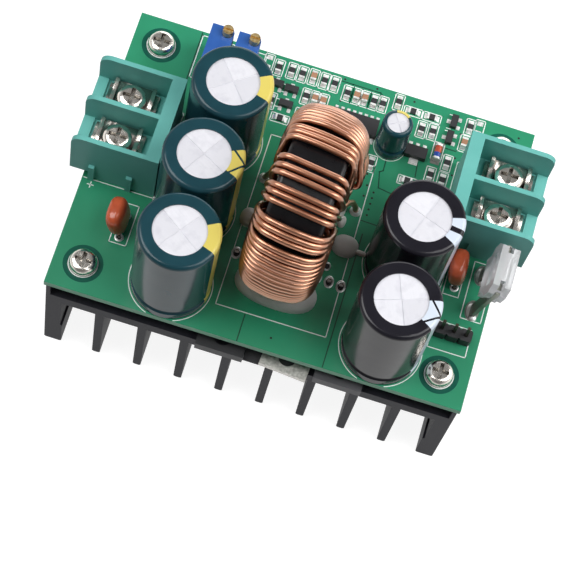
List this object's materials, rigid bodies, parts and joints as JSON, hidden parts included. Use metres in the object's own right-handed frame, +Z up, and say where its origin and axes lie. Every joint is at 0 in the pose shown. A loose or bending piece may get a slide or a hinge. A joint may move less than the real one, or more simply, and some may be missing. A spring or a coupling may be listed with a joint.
{
  "type": "boost converter module",
  "caption": "Step-up power converter board with tall capacitors, an upright wound ring and screw terminals, on a black finned heat sink.",
  "frame": {"origin": "middle of the module's footprint, at the fin tips that it stands on", "axes": "+X along the board from the output block to the input block, +Y from the edge with the power devices to the edge with the trimmers, +Z up"},
  "size_m": [0.093, 0.066, 0.0671],
  "materials": {
    "anodised_black": "matt black anodised extrusion",
    "green_board": "green solder resist over fibreglass laminate",
    "plated_steel": "bright nickel plated steel",
    "brass_spacer": "plain turned brass",
    "black_epoxy": "moulded black epoxy",
    "grey_epoxy": "moulded grey epoxy",
    "tinned_tab": "dull tinned copper tab",
    "tinned_lead": "tinned leads",
    "silicone_sheet": "dark insulating silicone sheet",
    "teal_nylon": "moulded teal nylon",
    "bare_aluminium": "bare drawn aluminium",
    "green_sleeve": "dark green shrink sleeve with pale yellow bands",
    "black_sleeve": "black shrink sleeve with a pale band",
    "iron_powder": "black coated powder core",
    "copper_wire": "enamelled copper wire",
    "white_silicone": "cloudy white silicone",
    "blue_plastic": "moulded blue plastic",
    "yellow_brass": "turned brass",
    "orange_dip": "orange brown dipped resin",
    "clear_plastic": "clear moulded plastic",
    "zinc_blade": "plain zinc strip",
    "gold_pin": "gold flashed pins",
    "tan_ceramic": "tan sintered ceramic",
    "red_glass": "red glass"
  },
  "bodies": {
    "module": {"heatsink": "anodised_black", "circuit_board": "green_board", "board_screws": "plated_steel", "board_spacers": "brass_spacer", "left_transistor": "black_epoxy", "right_transistor": "grey_epoxy", "rectifier_tab": "tinned_tab", "rectifier_body": "black_epoxy", "insulating_sheet": "silicone_sheet", "power_leads": "tinned_lead", "output_terminal": "teal_nylon", "input_terminal": "teal_nylon", "output_contacts": "plated_steel", "input_contacts": "plated_steel", "output_cap_front_can": "bare_aluminium", "output_cap_front_sleeve": "green_sleeve", "output_cap_mid_can": "bare_aluminium", "output_cap_mid_sleeve": "green_sleeve", "output_cap_back_can": "bare_aluminium", "output_cap_back_sleeve": "green_sleeve", "input_cap_front_can": "bare_aluminium", "input_cap_front_sleeve": "black_sleeve", "input_cap_back_can": "bare_aluminium", "input_cap_back_sleeve": "black_sleeve", "bias_cap_can": "bare_aluminium", "bias_cap_sleeve": "green_sleeve", "inductor_core": "iron_powder", "inductor_winding": "copper_wire", "inductor_glue": "white_silicone", "voltage_trimmer": "blue_plastic", "current_trimmer": "blue_plastic", "trimmer_pins": "tinned_lead", "output_film_cap": "orange_dip", "input_film_cap": "orange_dip", "film_cap_leads": "tinned_lead", "fuse_body": "clear_plastic", "fuse_blades": "zinc_blade", "fan_header": "black_epoxy", "header_pins": "gold_pin", "control_chip": "black_epoxy", "control_chip_pins": "tinned_lead", "regulator": "black_epoxy", "small_transistors": "black_epoxy", "transistor_pins": "tinned_lead", "chip_resistors": "black_epoxy", "chip_capacitors": "tan_ceramic", "signal_diode": "red_glass", "chip_end_caps": "tinned_lead"},
    "output_front_clamp": {"output_front_clamp": "plated_steel"},
    "output_front_screw": {"output_front_screw": "plated_steel"},
    "output_rear_clamp": {"output_rear_clamp": "plated_steel"},
    "output_rear_screw": {"output_rear_screw": "plated_steel"},
    "input_front_clamp": {"input_front_clamp": "plated_steel"},
    "input_front_screw": {"input_front_screw": "plated_steel"},
    "input_rear_clamp": {"input_rear_clamp": "plated_steel"},
    "input_rear_screw": {"input_rear_screw": "plated_steel"},
    "voltage_trimmer_screw": {"voltage_trimmer_screw": "yellow_brass"},
    "current_trimmer_screw": {"current_trimmer_screw": "yellow_brass"}
  },
  "joints": [
    {"name": "output_front_lift", "type": "slide", "parent": "module", "child": "output_front_clamp", "axis": [0, 0, 1], "range_m": [0, 0.0028]},
    {"name": "output_front_turn", "type": "hinge", "parent": "output_front_clamp", "child": "output_front_screw", "pos_m": [-0.03845, -0.00155, 0.0399], "axis": [0, 0, 1], "range_deg": [0, 1440]},
    {"name": "output_rear_lift", "type": "slide", "parent": "module", "child": "output_rear_clamp", "axis": [0, 0, 1], "range_m": [0, 0.0028]},
    {"name": "output_rear_turn", "type": "hinge", "parent": "output_rear_clamp", "child": "output_rear_screw", "pos_m": [-0.03845, 0.00775, 0.0399], "axis": [0, 0, 1], "range_deg": [0, 1440]},
    {"name": "input_front_lift", "type": "slide", "parent": "module", "child": "input_front_clamp", "axis": [0, 0, 1], "range_m": [0, 0.0028]},
    {"name": "input_front_turn", "type": "hinge", "parent": "input_front_clamp", "child": "input_front_screw", "pos_m": [0.03845, 0.00675, 0.0399], "axis": [0, 0, 1], "range_deg": [0, 1440]},
    {"name": "input_rear_lift", "type": "slide", "parent": "module", "child": "input_rear_clamp", "axis": [0, 0, 1], "range_m": [0, 0.0028]},
    {"name": "input_rear_turn", "type": "hinge", "parent": "input_rear_clamp", "child": "input_rear_screw", "pos_m": [0.03845, 0.01605, 0.0399], "axis": [0, 0, 1], "range_deg": [0, 1440]},
    {"name": "voltage_adjust", "type": "hinge", "parent": "module", "child": "voltage_trimmer_screw", "pos_m": [-0.02452, 0.02865, 0.0399], "axis": [0, 0, 1], "continuous": true},
    {"name": "current_adjust", "type": "hinge", "parent": "module", "child": "current_trimmer_screw", "pos_m": [-0.01882, 0.02865, 0.0399], "axis": [0, 0, 1], "continuous": true}
  ],
  "couplings": [
    {"joint": "output_front_turn", "follows": "output_front_lift", "rad_per_m": 8976},
    {"joint": "output_rear_turn", "follows": "output_rear_lift", "rad_per_m": 8976},
    {"joint": "input_front_turn", "follows": "input_front_lift", "rad_per_m": 8976},
    {"joint": "input_rear_turn", "follows": "input_rear_lift", "rad_per_m": 8976}
  ]
}
